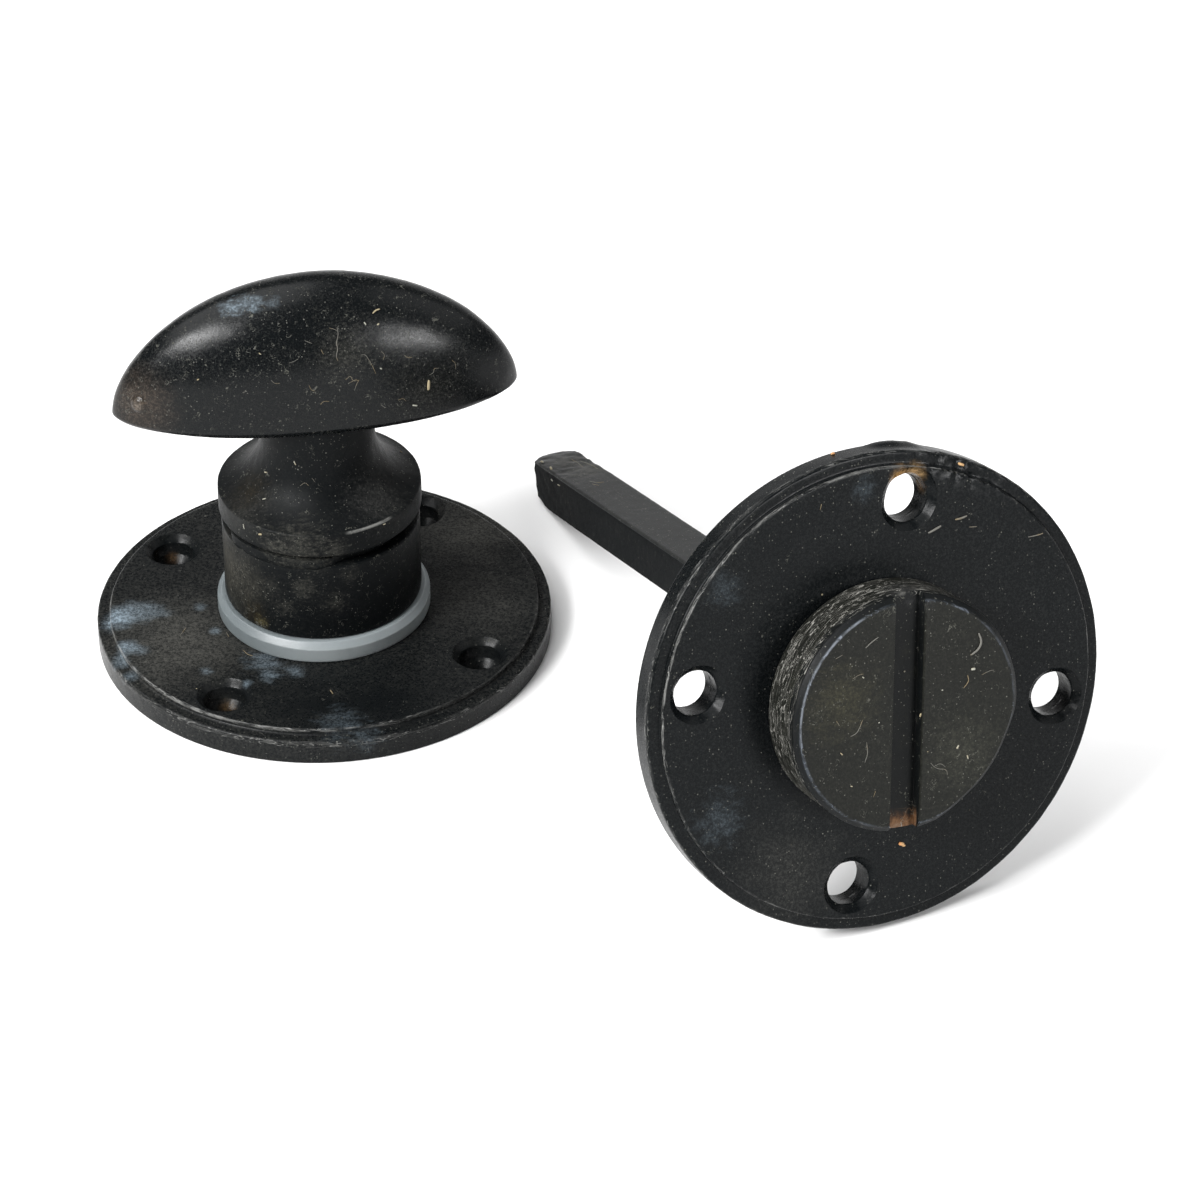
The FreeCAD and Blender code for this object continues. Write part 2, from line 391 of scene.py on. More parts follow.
bush = turned("bush_turn", rounded([
    (bush_bore_r, sleeve_low, 0.1), (bush_bore_r, flange_top, 0.15),
    (flange_r - 0.55, flange_top, 0.25), (flange_r, flange_top - 0.75, 0.3),
    (flange_r, rose_thickness, 0.25), (bush_r, rose_thickness, 0.02), (bush_r, sleeve_low, 0.1),
], 0.3), 300)


def bush_wear(point):
    at_rim = fade(hypot(point.x, point.y), flange_r - 0.6, flange_r)
    return -abs(ripple(point, 9, 0.04, 40)) * at_rim


move_along_normals(bush, bush_wear)
turn_bush = finished(bush, turn_place, "roses", "turn_bush", slot="nylon")

# %% [markdown]
# The collar is a plain drum with a spigot below that runs in the bush. Inside are the square socket for
# the spindle and the stud's hole.

# %% Collar
collar_r, spigot_end, collar_top = measured("turn_collar")
collar_bottom = flange_top + 0.05
clip_low = spigot_end + 0.6
clip_high = clip_low + 0.8
clip_seat_r = spigot_r - 0.45
stud_r, stud_low, stud_high = measured("turn_stud")
stud_hole_r = stud_r + 0.05
stud_room = 0.5
socket_half = 2.85
socket_top = stud_low - stud_room - 0.85
grip_angle = 9.5

collar = turned("collar", rounded([
    (0, spigot_end, 0), (spigot_r, spigot_end, 0.2), (spigot_r, clip_low, 0.05),
    (clip_seat_r, clip_low, 0.03), (clip_seat_r, clip_high, 0.03), (spigot_r, clip_high, 0.05),
    (spigot_r, collar_bottom, 0.1), (collar_r, collar_bottom, 0.35), (collar_r, collar_top, 0.3),
    (0, collar_top, 0),
], 0.4), 300)


def collar_wear(point):
    outside = fade(hypot(point.x, point.y), collar_r - 0.5, collar_r - 0.2)
    top_edge = fade(point.z, collar_top - 0.8, collar_top - 0.2)
    nicks = (0.3 + top_edge) * abs(ripple(point, 0.8, 0.04, 51))
    return -outside * (abs(ripple(point, 3.5, 0.04, 50)) + nicks)


move_along_normals(collar, collar_wear)
socket_cutter = square_piece("socket cutter", socket_half, -1, socket_top)
socket_cutter.data.transform(about_z(grip_angle))
stud_cutter = rod_piece("stud cutter", stud_hole_r, stud_low - stud_room, collar_top + 1)
cut(collar, socket_cutter, stud_cutter)
turn_collar = finished(collar, turn_place, "turn", "turn_collar")

# %% [markdown]
# The neck sweeps in along an arc, with a crease at the rim and none at the waist. Old wax fills the
# groove below the rim at the front left and leaves it open and black on the right.

# %% Neck
neck_rim_r, _, neck_top = measured("turn_neck")
neck_foot_r = 9.7
foot_top = collar_top + 1.4
rim_top = foot_top + 2.8
flare_top = rim_top + 6.4
waist_r = 6.2
spread = neck_rim_r - waist_r
flare_r = (spread ** 2 + (flare_top - rim_top) ** 2) / (2 * spread)
flare_turn = degrees(atan2(flare_top - rim_top, waist_r + flare_r - neck_rim_r))
wax_angle = radians(243)

neck = turned("neck", rounded([
    (stud_hole_r, collar_top, 0.1), (neck_foot_r, collar_top, 0.1), (neck_foot_r, foot_top, 0.12),
    (neck_rim_r, foot_top, 0.35), (neck_rim_r, rim_top, 0.28),
] + arc((waist_r + flare_r, flare_top), flare_r, 180 + flare_turn, 180)[1:] + [
    (waist_r, neck_top, 0.1), (stud_hole_r, neck_top, 0.1),
], 0.3), 300)


def neck_wear(point):
    radius = hypot(point.x, point.y)
    turned_away = acos(max(-1, min(1, cos(atan2(point.y, point.x) - wax_angle))))
    below_rim = 1 - fade(point.z, foot_top - 0.25, foot_top - 0.05)
    in_groove = fade(radius, neck_foot_r - 0.5, neck_foot_r) * below_rim
    wax = in_groove * (1 - fade(turned_away, 0.5, 0.85)) * (1.15 + ripple(point, 1.2, 0.06, 60))
    outside = fade(radius, stud_hole_r + 1, waist_r - 0.5) * fade(point.z, foot_top, foot_top + 0.3)
    return wax - outside * (abs(ripple(point, 4, 0.05, 61)) + abs(ripple(point, 0.9, 0.012, 62)))


move_along_normals(neck, neck_wear)
turn_neck = finished(neck, turn_place, "turn", "turn_neck")

# %% [markdown]
# The grip is an oval that a hand pinches. Each cross-section is two half ellipses, a tall one above
# and a shallow one below, and both narrow to blunt tips. A cast nub sits near the left tip.

# %% Grip
grip_half_length = 21.8
grip_half_width = 7.2
grip_rise = 14.7
grip_drop = 2.6
grip_tip_power = 0.6
grip_tip_power_below = 0.42
seat_depth = 1.5
grip_middle = neck_top + grip_drop - seat_depth
GRIP_RINGS = 190
GRIP_SIDES = 200
nub_pixel = (138, 405)


def oval(name):
    """The grip's skin: rings along X that shrink to one point at each tip."""
    bm = bmesh.new()
    rings = []
    for index in range(GRIP_RINGS + 1):
        angle = pi * index / GRIP_RINGS - pi / 2
        x = grip_half_length * sin(angle)
        if index in (0, GRIP_RINGS):
            rings.append([bm.verts.new((x, 0, 0))] * GRIP_SIDES)
            continue
        share = cos(angle) ** (2 * grip_tip_power)
        share_below = cos(angle) ** (2 * grip_tip_power_below)
        ring = []
        for side in range(GRIP_SIDES):
            turn = 2 * pi * side / GRIP_SIDES
            height = grip_rise * share if sin(turn) > 0 else grip_drop * share_below
            ring.append(bm.verts.new((x, grip_half_width * share * cos(turn), height * sin(turn))))
        rings.append(ring)
    join_rings(bm, rings)
    placed = Matrix.Translation((0, 0, grip_middle)) @ about_z(grip_angle)
    bmesh.ops.transform(bm, matrix=placed, verts=bm.verts)
    return new_piece(name, bm)


grip = oval("grip")
nub = seen_on(grip, nub_pixel, turn_place)


def grip_wear(point):
    worn = ripple(point, 9, 0.05, 70) + ripple(point, 1.6, 0.015, 71)
    return worn - 0.05 + 0.32 * (1 - fade((point - nub).length, 0.45, 1))


move_along_normals(grip, grip_wear)
seat_cutter = rod_piece("seat cutter", waist_r + 0.05, neck_top - seat_depth - 3, neck_top, 128)
stud_cutter = rod_piece("stud cutter", stud_hole_r, neck_top - 1, stud_high + stud_room)
cut(grip, seat_cutter, stud_cutter)
turn_grip = finished(grip, turn_place, "turn", "turn_grip")

# %% [markdown]
# The boss is a drum that a coin turns from outside. Its face has a narrow bevel, one stretch of its rim
# was filed flat, and a long bar with softened edges cuts the slot.

# %% Boss
boss_r = 12.3
boss_low = rose_thickness + 0.05
boss_high = boss_low + 6.2
boss_bevel = 0.6
room_r = bush_r + 2.6 + 0.5
room_high = rose_thickness + 0.85
slot_half = 1.6
slot_floor = boss_high - 1.5
spindle_head = slot_floor - 3
slot_angle = -7.5
flat_angle = radians(-45)
flat_depth = 0.45


def bar_cutter(name, outline, half_length, angle):
    """A bar along Y with the given outline in X and Z, turned about the Z axis."""
    bm = bmesh.new()
    ends = [[bm.verts.new((p[0], y, p[1])) for p in outline] for y in (-half_length, half_length)]
    bm.faces.new(ends[0])
    bm.faces.new(ends[1])
    join_rings(bm, ends)
    bmesh.ops.transform(bm, matrix=about_z(angle), verts=bm.verts)
    return new_piece(name, bm)


boss = turned("boss", rounded([
    (0, room_high, 0), (room_r, room_high, 0.1), (room_r, boss_low, 0.1), (boss_r, boss_low, 0.25),
    (boss_r, boss_high - boss_bevel, 0.25), (boss_r - boss_bevel, boss_high, 0.15), (0, boss_high, 0),
], 0.35), 360)


def boss_wear(point):
    radius = hypot(point.x, point.y)
    side = fade(radius, boss_r - 0.3, boss_r) * fade(point.z, boss_low, boss_low + 0.4)
    side *= 1 - 0.8 * fade(point.z, boss_high - boss_bevel - 0.2, boss_high - boss_bevel + 0.1)
    layers = Vector((point.x, point.y, 4.5 * point.z))
    scuffs = ripple(layers, 5, 0.07, 80) + ripple(layers, 1.3, 0.018, 82)
    face = fade(point.z, boss_high - boss_bevel, boss_high)
    return -side * abs(scuffs) - 0.02 * face + face * ripple(point, 3, 0.02, 81)


move_along_normals(boss, boss_wear)
for vertex in boss.data.vertices:
    radius = hypot(vertex.co.x, vertex.co.y)
    away = cos(atan2(vertex.co.y, vertex.co.x) - flat_angle)
    if radius > 0:
        filed = flat_depth * fade(away, 0.8, 0.98) * fade(radius, room_r + 0.2, room_r + 1.2)
        vertex.co.x *= 1 - filed / radius
        vertex.co.y *= 1 - filed / radius
slot_cutter = bar_cutter("slot cutter", rounded([
    (-slot_half, slot_floor, 0.1), (slot_half, slot_floor, 0.05), (slot_half, boss_high - 0.2, 0.1),
    (slot_half + 0.3, boss_high + 0.3, 0), (-slot_half - 0.3, boss_high + 0.3, 0),
    (-slot_half, boss_high - 0.2, 0.1),
], 3), 2 * boss_r, slot_angle)
pocket_cutter = square_piece("pocket cutter", socket_half, boss_low, spindle_head + 0.1)
cut(boss, slot_cutter, pocket_cutter)
release_boss = finished(boss, release_place, "release", "release_boss")

# %% [markdown]
# The spindle is a square bar with hammer marks that grow towards its tapered far end, which is worn
# most underneath. A burr runs along the edge between its top and its left side.

# %% Spindle
spindle_half = 2.75
spindle_tip = -81
taper_length = 4.6
taper_top = 0.35
taper_bottom = 1.5
left_chamfer = 1.7
right_chamfer = 0.9
chamfer_length = 1.5
pin_room_r = 1.05
pin_z = -3.25


def square_bar(name):
    """Rings of a rounded square, closed at both ends, with a tapered far end."""
    outline = rounded([
        (-spindle_half, -spindle_half, 0.4), (spindle_half, -spindle_half, 0.4),
        (spindle_half, spindle_half, 0.4), (-spindle_half, spindle_half, 0.4),
    ], 0.28)
    levels = [spindle_head - 0.3 * step for step in range(int((spindle_head - spindle_tip) / 0.3) + 1)]
    bm = bmesh.new()
    rings = []
    for z in levels + [spindle_tip]:
        into_taper = max(0, spindle_tip + taper_length - z) / taper_length
        into_chamfer = max(0, spindle_tip + chamfer_length - z) / chamfer_length
        ring = []
        for x, y in outline:
            inset = taper_top * into_taper ** 3 if y > 0 else taper_bottom * into_taper ** 1.4
            chamfer = (left_chamfer if x < 0 else right_chamfer) * into_chamfer
            ring.append(bm.verts.new((x * (1 - chamfer / spindle_half), y * (1 - inset / spindle_half), z)))
        rings.append(ring)
    join_rings(bm, rings)
    shares = (0.75, 0.5, 0.25)
    for end in (rings[0], rings[-1]):
        z = end[0].co.z
        shrunk = [[bm.verts.new((v.co.x * share, v.co.y * share, z)) for v in end] for share in shares]
        join_rings(bm, [end, *shrunk, [bm.verts.new((0, 0, z))] * len(end)])
    return new_piece(name, bm)


def spindle_wear(point):
    free = 1 - fade(point.z, -8, -6.5)
    tip = 1 - fade(point.z, spindle_tip + 5, spindle_tip + 14)
    flat = Vector((point.x, point.y, 0))
    burr = near(flat, (-spindle_half, spindle_half, 0), 0.5)
    groove = near(flat, (-spindle_half, spindle_half - 0.55, 0), 0.3)
    hammered = abs(ripple(point, 3, 0.02 + 0.13 * tip, 90)) + abs(ripple(point, 1.1, 0.01 + 0.05 * tip, 91))
    return free * (0.05 * burr - 0.08 * groove - hammered)


bar = square_bar("spindle_bar")
move_along_normals(bar, spindle_wear)
pin_cutter = rod_piece("pin cutter", pin_room_r, -2 * spindle_half, 2 * spindle_half)
pin_cutter.data.transform(Matrix.Translation((0, 0, pin_z)) @ Matrix.Rotation(pi / 2, 4, "Y"))
spindle = finished(cut(bar, pin_cutter), release_place, "release", "spindle")

# %% [markdown]
# A material is worked out at every point of a surface, from clouds of noise, soft thresholds and mixes.
# Each is a signal, and signals add and multiply like numbers. Coordinates are the piece's own, in
# millimetres, so a pattern moves with its piece.

# %% Material steps
class Signal:
    """Something that a material works out at every point, such as a height or a colour."""

    def __init__(self, made, output=0):
        self.tree = made.id_data
        self.socket = made.outputs[output]

    def calc(self, operation, other=0):
        return Signal(node(self.tree, "ShaderNodeMath", {0: self, 1: other}, operation=operation))

    def arrow(self, operation, other=(0, 0, 0), output="Vector"):
        made = node(self.tree, "ShaderNodeVectorMath", {0: self, 1: other}, operation=operation)
        return Signal(made, output)

    def __add__(self, other):
        return self.calc("ADD", other)

    def __sub__(self, other):
        return self.calc("SUBTRACT", other)

    def __mul__(self, other):
        return self.calc("MULTIPLY", other)

    def __truediv__(self, other):
        return self.calc("DIVIDE", other)

    def __abs__(self):
        return self.calc("ABSOLUTE")


def feed(made, inputs):
    """Gives a node its inputs, by name or number: a signal or a plain value each."""
    for name, value in inputs.items():
        if isinstance(value, Signal):
            made.id_data.links.new(value.socket, made.inputs[name])
        else:
            made.inputs[name].default_value = value


def node(tree, kind, inputs, **settings):
    made = tree.nodes.new(kind)
    for name, value in settings.items():
        setattr(made, name, value)
    feed(made, inputs)
    return made


def new_material(name):
    """A material, its shader, and the piece's own coordinates in millimetres."""
    material = bpy.data.materials.new(name)
    material.use_nodes = True
    own = Signal(node(material.node_tree, "ShaderNodeTexCoord", {}), "Object")
    return material, material.node_tree.nodes["Principled BSDF"], own.arrow("MULTIPLY", (1 / MM,) * 3)


def rise(value, low, high, end=1):
    """0 below low, end above high, smooth between. It falls instead where low is above high."""
    fed = {"Value": value, "From Min": low, "From Max": high, "To Max": end}
    return Signal(node(value.tree, "ShaderNodeMapRange", fed, interpolation_type="SMOOTHSTEP"), "Result")


def cloud(where, size, detail=3, roughness=0.6, distortion=0):
    """Noise around 0.5 whose bumps are about the given size in millimetres."""
    fed = {"Vector": where, "Scale": 1 / size, "Detail": detail, "Roughness": roughness,
           "Distortion": distortion}
    return Signal(node(where.tree, "ShaderNodeTexNoise", fed), "Fac")


def blend(amount, a, b):
    """Colour a where amount is 0, and colour b where it is 1."""
    a, b = (value if isinstance(value, Signal) else (*value, 1) for value in (a, b))
    return Signal(node(amount.tree, "ShaderNodeMix", {0: amount, 6: a, 7: b}, data_type="RGBA"), 2)


def bumped(height):
    """The surface's direction, changed by a height in metres."""
    return Signal(node(height.tree, "ShaderNodeBump", {"Height": height, "Distance": 1}), "Normal")


def patch(where, centre, radius, ragged, grain):
    """1 in the middle of a cloudy patch about a point given in metres, fading to 0 at its radius."""
    away = where.arrow("DISTANCE", Vector(centre) / MM, "Value")
    uneven = cloud(where.arrow("MULTIPLY", (0.5, 1.1, 1.1)), grain, 5, 0.72) - 0.5
    return rise(away / radius + uneven * (4 * ragged), 1.1, -0.1)


def about_axis(where, middle, axis):
    """The arrow from a point on an axis, the distance from the axis and the height along it."""
    away = where.arrow("SUBTRACT", Vector(middle) / MM)
    radius = away.arrow("CROSS_PRODUCT", axis).arrow("LENGTH", output="Value")
    return away, radius, away.arrow("DOT_PRODUCT", axis, "Value")


def band(radius, height, at_radius, width, low, high):
    """1 in a band round the axis, within width of a radius and between two heights."""
    kept = rise(height, low - 0.1, low) * rise(height, high + 0.1, high)
    return rise(abs(radius - at_radius), width, 0.3 * width) * kept


def grains(where, spacing, radius, share):
    """Dots of up to the given radius, some paler, in this share of cells that are spacing wide."""
    cells = node(where.tree, "ShaderNodeTexVoronoi", {"Vector": where, "Scale": 1 / spacing})
    drawn = node(where.tree, "ShaderNodeSeparateColor", {0: Signal(cells, "Color")})
    away = Signal(cells, "Distance") + Signal(drawn, 2) * (0.6 * radius / spacing)
    dot = rise(away, radius / spacing, 0.5 * radius / spacing)
    return dot * rise(Signal(drawn, 0), share, 0.98 * share) * (Signal(drawn, 1) * 0.8 + 0.2)


def fibres(where, size, width, share, offset):
    """Short curly hairs: stretches of a noise's level lines, kept only here and there."""
    moved = where.arrow("ADD", (offset, 0, 0))
    level = abs(cloud(moved, size, 1, 0.5, 1.5) - 0.5)
    kept = rise(cloud(moved, 1.4 * size, 1), 1 - share, 1.02 - share)
    return rise(level, width / size, 0.4 * width / size) * kept


print("materials ready")

# %% [markdown]
# The steel's black ground lies under a thin, uneven film of dust in the wax, with pale grains and a few
# hairs on top. Blue-white bloom shows where the wax has dried, and brown where rust comes through.

# %% Blackened steel
TURN_AXIS = ((0, 0, 0), (0, 0, 1))
RELEASE_AXIS = (release_mount["pos_m"], facing)
BLACK = (0.0025, 0.0032, 0.0036)
DUST = (0.06, 0.059, 0.053)
PALE_DUST = (0.1, 0.097, 0.082)
BROWN_WAX = (0.014, 0.011, 0.006)
BLOOM = (0.19, 0.24, 0.28)
COPPER = (0.11, 0.05, 0.02)
WORN = (0.13, 0.13, 0.125)
# Colour of a painted highlight on the boss's bevel.
BLUE_EDGE_HIGHLIGHT = (0.1, 0.115, 0.14)


def waxed_black(name, axis, film, patches, bands=(), grit=1, shine=0.34, relief=0.012, cover=0.5,
                sand=0.8, gloss=1.3, ground=BLACK, change=None):
    """Blackened steel that was turned about an axis.

    A patch is (centre in metres, radius in mm, colour, strength, raggedness, grain in mm), and a band
    is (radius, width, low, high, colour, strength, raggedness), in mm about the axis. A direction and a
    cosine may follow, for a band on that side only.
    """
    material, shader, where = new_material("blackened steel, " + name)
    away, radius, height = about_axis(where, *axis)
    broad = cloud(where, 6, 4, 0.6, 0.5)
    fine = cloud(where, 0.2, 3, 0.75)
    speckle = rise(cloud(where, 0.3, 4, 0.85), 0.43, 0.64)
    filmed = rise(broad, 0.8 - 0.5 * cover, 1.1 - 0.5 * cover, 0.6) + 0.35 * cover
    colour = blend(filmed * (speckle * (2 * sand) + (0.85 - sand)), ground, film)
    for centre, patch_r, tint, strength, ragged, grain in patches:
        amount = patch(where, centre, patch_r, ragged, grain) * strength * (speckle * 0.8 + 0.35)
        colour = blend(amount, colour, tint)
    layers = where.arrow("ADD", (height * 5).arrow("MULTIPLY", axis[1]))
    scratches = fibres(layers, 3, 0.06, 0.6, 5)
    for at_radius, width, low, high, tint, strength, ragged, *aim in bands:
        worn = rise(cloud(layers, 2.2, 6, 0.75), 0.2 + 0.35 * ragged, 0.5 + 0.25 * ragged, strength)
        amount = band(radius, height, at_radius, width, low, high) * worn.calc("MAXIMUM", scratches * ragged)
        if aim:
            toward, edge = aim
            along = away.arrow("DOT_PRODUCT", toward, "Value")
            amount = amount * rise(along / radius, edge, edge + 0.5 * (1 - edge))
        colour = blend(amount, colour, tint)
    pale = grains(where, 0.3, 0.09, 0.38 * grit)
    yellow = grains(where, 2.6, 0.13, 0.14 * grit)
    hairs = fibres(where, 0.8, 0.016, 0.3 * min(1.3, grit), 0)
    colour = blend(yellow, blend(pale, colour, (0.115, 0.115, 0.1)), (0.3, 0.26, 0.17))
    colour = blend(hairs * 0.4, colour, (0.13, 0.13, 0.11))
    rough = speckle * 0.12 + shine
    if change:
        colour, rough = change(where, colour, rough)
    pits = (fine + broad * 2) * (relief * MM)
    lumps = (pale + hairs) * (0.02 * MM)
    cuts = Signal(node(where.tree, "ShaderNodeCombineXYZ", {0: radius, 1: height}))
    lathe = cloud(cuts, 0.16, 2) * (0.004 * MM)
    bumps = bumped(pits + lumps + lathe)
    feed(shader, {"Base Color": colour, "Roughness": rough, "Normal": bumps, "IOR": gloss})
    return material


def painted_shade_sides(where, colour, rough):
    """Painted shade on the spindle's sides, which are also made rougher, below a strip of worn edge, and a
    painted shadow line just under that strip.
    """
    away = where.arrow("SUBTRACT", Vector(release_mount["pos_m"]) / MM)
    sideways = abs(away.arrow("DOT_PRODUCT", across, "Value"))
    height = away.arrow("DOT_PRODUCT", upward, "Value")
    side = rise(sideways, spindle_half - 0.5, spindle_half - 0.35)
    side = side * rise(height, spindle_half - 0.25, spindle_half - 0.35)
    # Painted shadow: a black line on each side, just under the top edge.
    line = side * rise(height, spindle_half - 0.8, spindle_half - 0.6)
    scrapes = rise(cloud(where.arrow("MULTIPLY", (1, 1, 0.35)), 0.4, 4, 0.8), 0.5, 0.66, 0.8)
    # Painted shade on the sides, broken where scrapes show.
    dull = (side - side * scrapes) * 0.95
    return blend(line, blend(dull, colour, BLACK), BLACK), rough + side * 0.35


def paint(material, *pieces):
    for piece in pieces:
        piece.data.materials.clear()
        piece.data.materials.append(material)
    print(material.name, "on", [piece.name for piece in pieces])

# %% [markdown]
# The marks were read off the photograph, colour by colour. Many are dust, wax, bloom and rust; the rest are
# painted shade, painted shadows and painted highlights, each marked below. Bands of wear follow the edges
# and are drawn over them, and some bands are painted highlights and painted shade.

# %% Marks and bands
def marks(piece, *groups):
    """Patches on a piece. A group is a colour and rows of x, y, radius, strength, raggedness, grain."""
    return [(seen_on(piece, (x, y)), radius, tint, *rest)
            for tint, *rows in groups for x, y, radius, *rest in rows]


def in_hole(place, angle, height):
    """The middle of a rose's screw hole, at a height."""
    return place @ about_z(angle) @ Vector((screw_circle_r, 0, height))


def around_holes(place, angle, radius, strength):
    """Old wax, black and thick, in the countersinks of a rose."""
    middles = [in_hole(place, angle + 90 * index, rose_thickness - 0.6) for index in range(4)]
    return [(middle, radius, BLACK, strength, 0.08, 0.6) for middle in middles]


def by_hole(toward, reach, height):
    """A point of the release rose's top screw hole: a direction, a distance and a height in it."""
    aim = radians(toward)
    sideways = reach * Vector((cos(aim), sin(aim), 0))
    return in_hole(release_place @ Matrix.Translation(sideways), release_screw_angle + 90, height)


edges = [
    (step_r, 0.22, rose_thickness - 0.4, rose_thickness + 0.2, WORN, 0.2, 0.6),
    (rose_r, 0.25, step_z - 0.6, step_z + 0.2, WORN, 0.2, 0.7),
]
# Painted highlight: a pale line on the face's edge, drawn on one side of each rose only.
face_edge_highlight = (step_r, 0.14, rose_thickness - 0.3, rose_thickness + 0.2, (0.25, 0.25, 0.24), 0.45, 0.55)
front_left = (-0.6, -0.8, 0)
upper_left = 0.85 * upward - 0.53 * across
on_turn_rose = around_holes(turn_place, turn_screw_angle, 3.9, 3) + marks(turn_rose,
    (DUST, (180, 640, 11, 0.8, 0.3, 3), (480, 600, 9, 0.3, 0.4, 3), (470, 530, 8, 0.9, 0.4, 3)),
    # Painted shadow: black where the knob's shadow falls on the rose, in front of the bush and to its right.
    (BLACK, (390, 705, 10, 1, 0.4, 3), (310, 705, 8, 0.9, 0.5, 2)),
    (BLOOM,
     (118, 618, 2.5, 1, 0.3, 1.6), (140, 612, 2.6, 0.5, 0.45, 1.4), (160, 611, 1.6, 0.3, 0.5, 1.2),
     (127, 647, 1.7, 0.8, 0.3, 1.2), (139, 650, 1.4, 0.3, 0.4, 1), (121, 662, 1.5, 0.45, 0.4, 1),
     (131, 676, 1.3, 0.35, 0.4, 1), (215, 631, 0.9, 0.5, 0.2, 0.6), (200, 607, 1, 0.3, 0.3, 0.6),
     (262, 662, 2.6, 0.35, 0.6, 1), (270, 676, 1.4, 0.4, 0.5, 0.7), (295, 671, 1.4, 0.35, 0.5, 0.7),
     (247, 683, 0.8, 0.45, 0.3, 0.5), (340, 722, 3, 0.16, 0.7, 0.8), (365, 738, 2, 0.16, 0.7, 0.8),
     (206, 671, 0.9, 0.3, 0.4, 0.5)),
    ((0.08, 0.048, 0.02), (228, 709, 1.2, 0.8, 0.3, 0.8)),
    ((0.07, 0.04, 0.018), (172, 558, 1, 0.7, 0.3, 0.8)),
)
paint(waxed_black("turn rose", TURN_AXIS, DUST, on_turn_rose, edges + [(*face_edge_highlight, front_left, 0.5)],
                  shine=0.27, cover=0.38, gloss=1.2), turn_rose)
on_release_rose = around_holes(release_place, release_screw_angle, 3.6, 1.5) + marks(release_rose,
    (BLOOM,
     (720, 820, 3.2, 0.12, 0.7, 1), (725, 590, 2.4, 0.1, 0.5, 1), (865, 490, 1.6, 0.14, 0.5, 1)),
    (DUST, (790, 875, 8, 0.25, 0.4, 3)),
    # Painted shadow: black where the boss shades the rose at its upper left.
    (BLACK, (790, 545, 9, 0.85, 0.4, 3)),
) + [
    (by_hole(105, 2.6, 2.9), 1.5, (0.45, 0.26, 0.1), 1, 0.15, 0.6),
    (by_hole(65, 2.6, 2.6), 1.5, (0.5, 0.32, 0.15), 1, 0.15, 0.6),
    (by_hole(20, 2.3, 1.5), 1.3, (0.12, 0.07, 0.03), 0.9, 0.2, 0.8),
]
paint(waxed_black("release rose", RELEASE_AXIS, (0.021, 0.0225, 0.0222), on_release_rose,
                  edges + [(*face_edge_highlight, upper_left, 0.3)], shine=0.24, cover=0.2, sand=1.5, gloss=1.19),
      release_rose)
on_grip = [
    # A brown haze round the nub, and a painted highlight: a paler cap on the nub.
    (nub * MM, 5.2, (0.09, 0.066, 0.048), 0.4, 0.2, 2), (nub * MM, 0.9, (0.2, 0.17, 0.14), 0.5, 0.1, 0.5),
] + marks(turn_grip,
    (BLOOM,
     (228, 307, 1.3, 0.4, 0.6, 0.6), (240, 305, 1.5, 0.4, 0.6, 0.6), (254, 303, 1.2, 0.4, 0.7, 0.6),
     (272, 303, 1, 0.2, 0.7, 0.6)),
    (PALE_DUST, (345, 352, 4, 0.16, 0.9, 0.3), (430, 385, 6, 0.12, 0.9, 0.3)),
    # Painted shade: black between the grip's two pale glows and on its right tip.
    (BLACK, (300, 335, 3, 0.9, 0.7, 1.2), (430, 365, 3, 0.9, 0.7, 1.2), (490, 372, 6, 1, 0.4, 2)),
)
paint(waxed_black("grip", TURN_AXIS, (0.02, 0.0198, 0.018), on_grip, (), 1.3, 0.21, 0.012, 0.33, 1.5, 1.245),
      turn_grip)
on_neck = marks(turn_neck,
    (DUST, (242, 508, 5, 0.35, 0.4, 3)),
    (PALE_DUST, (300, 550, 4, 0.3, 0.9, 0.4)),
    (BROWN_WAX, (250, 490, 3, 0.7, 0.5, 1)),
    (PALE_DUST, (270, 548, 2, 0.2, 0.9, 0.4), (335, 552, 2, 0.2, 0.9, 0.4)),
    # Painted highlight: a paler patch for the glow on the right of the flare.
    ((0.045, 0.045, 0.043), (378, 500, 4.5, 0.6, 0.5, 0.6)),
    # Painted shade: a dark patch low in the middle of the flare.
    (BLACK, (310, 495, 5, 0.6, 0.5, 1)),
)
# Painted highlight: a pale line along the crease at the rim, on the front right only.
crease = (neck_rim_r - 0.15, 0.2, rim_top - 0.1, rim_top + 0.2, (0.2, 0.2, 0.19), 0.7, 0.5)
front_right = (0.54, -0.84, 0)
paint(waxed_black("neck", TURN_AXIS, (0.02, 0.0205, 0.0185), on_neck, [(*crease, front_right, 0.96)],
                  1.2, 0.45, 0.014, 0.25, 1.3, 1.165), turn_neck)
on_collar = marks(turn_collar,
    # Painted reflection: a paler patch on the collar's left, where the left lamps reflect.
    ((0.042, 0.04, 0.033), (232, 570, 7, 1, 0.3, 3)),
    # Painted shade: black on the collar's right side.
    (BLACK, (395, 585, 10, 1, 0.3, 3)),
    (PALE_DUST,
     (303, 588, 1.7, 0.3, 0.9, 0.35), (335, 602, 1.8, 0.18, 1, 0.35), (285, 607, 1.5, 0.2, 1, 0.35),
     (350, 575, 1.4, 0.16, 1, 0.35), (272, 585, 1.4, 0.14, 1, 0.35), (318, 565, 1.4, 0.14, 1, 0.35)),
    (BROWN_WAX, (255, 615, 2.6, 0.9, 0.4, 1)),
    ((0.07, 0.06, 0.03), (262, 622, 1, 0.8, 0.8, 0.4)),
)
paint(waxed_black("collar", TURN_AXIS, (0.023, 0.0235, 0.0215), on_collar, (), 1.3, 0.36, 0.014, 0.25, 1.4,
                  1.16), turn_collar)


def in_slot(reach):
    """A point in the middle of the slot's floor, in from its lower end."""
    return release_place @ about_z(slot_angle) @ Vector((0, reach - boss_r, slot_floor))


